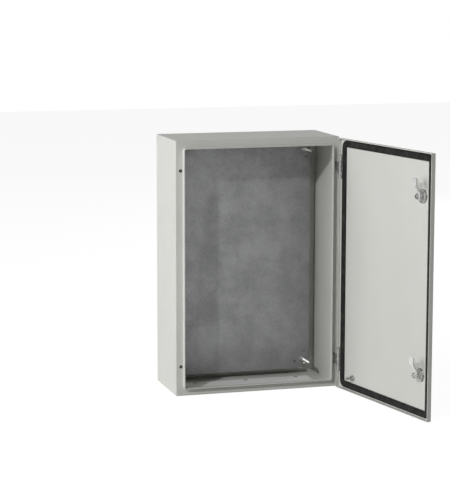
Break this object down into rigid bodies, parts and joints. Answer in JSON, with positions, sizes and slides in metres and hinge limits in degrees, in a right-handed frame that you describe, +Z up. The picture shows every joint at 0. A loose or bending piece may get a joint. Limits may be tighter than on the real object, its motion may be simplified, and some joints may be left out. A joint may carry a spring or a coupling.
{
  "type": "steel wall enclosure",
  "caption": "Painted steel wall enclosure: gasketed door on hinges with quarter-turn locks, rain lip, mounting plate on studs and a gland plate in the floor.",
  "frame": {"origin": "centre of the four wall fixing holes, on the wall plane at the back", "axes": "+Z up, -Y out of the front, +X to the right seen from the front; door stored open"},
  "size_m": [0.4762, 0.5785, 0.6],
  "materials": {
    "paint": "fine-textured light grey powder coat",
    "galvanised": "galvanised sheet, dull and faintly mottled",
    "zinc": "bright zinc plating",
    "die_cast": "die-cast zinc, satin",
    "foam": "foamed polyurethane, matt black",
    "plug": "black plastic"
  },
  "bodies": {
    "cabinet": {"cabinet_shell": "paint", "back_panel": "paint", "mounting_plate": "galvanised", "plate_studs": "zinc", "plate_spacers": "zinc", "plate_washers": "zinc", "plate_nuts": "zinc", "gland_plate": "galvanised", "gland_gasket": "foam", "gland_screws": "zinc", "hole_plugs": "plug", "hinge_block_upper": "zinc", "hinge_block_lower": "zinc", "hinge_screws": "zinc"},
    "door": {"door_panel": "paint", "door_gasket": "foam", "door_earth_stud": "zinc", "door_earth_washer": "zinc", "door_earth_nut": "zinc", "hinge_leaf_upper": "zinc", "hinge_leaf_lower": "zinc", "hinge_pin_upper": "zinc", "hinge_pin_lower": "zinc", "lock_housing_upper": "die_cast", "lock_housing_lower": "die_cast", "lock_seal_upper": "foam", "lock_seal_lower": "foam", "lock_washer_upper": "zinc", "lock_washer_lower": "zinc", "lock_nut_upper": "die_cast", "lock_nut_lower": "die_cast"},
    "lock_upper": {"lock_insert_upper": "die_cast", "lock_cam_upper": "zinc", "cam_screw_upper": "zinc"},
    "lock_lower": {"lock_insert_lower": "die_cast", "lock_cam_lower": "zinc", "cam_screw_lower": "zinc"}
  },
  "joints": [
    {"name": "door_hinge", "type": "hinge", "parent": "cabinet", "child": "door", "pos_m": [0.1965, -0.1901, 0], "axis": [0, 0, 1], "range_deg": [-101, 14]},
    {"name": "lock_upper_turn", "type": "hinge", "parent": "door", "child": "lock_upper", "pos_m": [0.26338, -0.53416, 0.2], "axis": [0.9816, 0.1908, 0], "range_deg": [0, 90]},
    {"name": "lock_lower_turn", "type": "hinge", "parent": "door", "child": "lock_lower", "pos_m": [0.26338, -0.53416, -0.2], "axis": [0.9816, 0.1908, 0], "range_deg": [0, 90]}
  ]
}
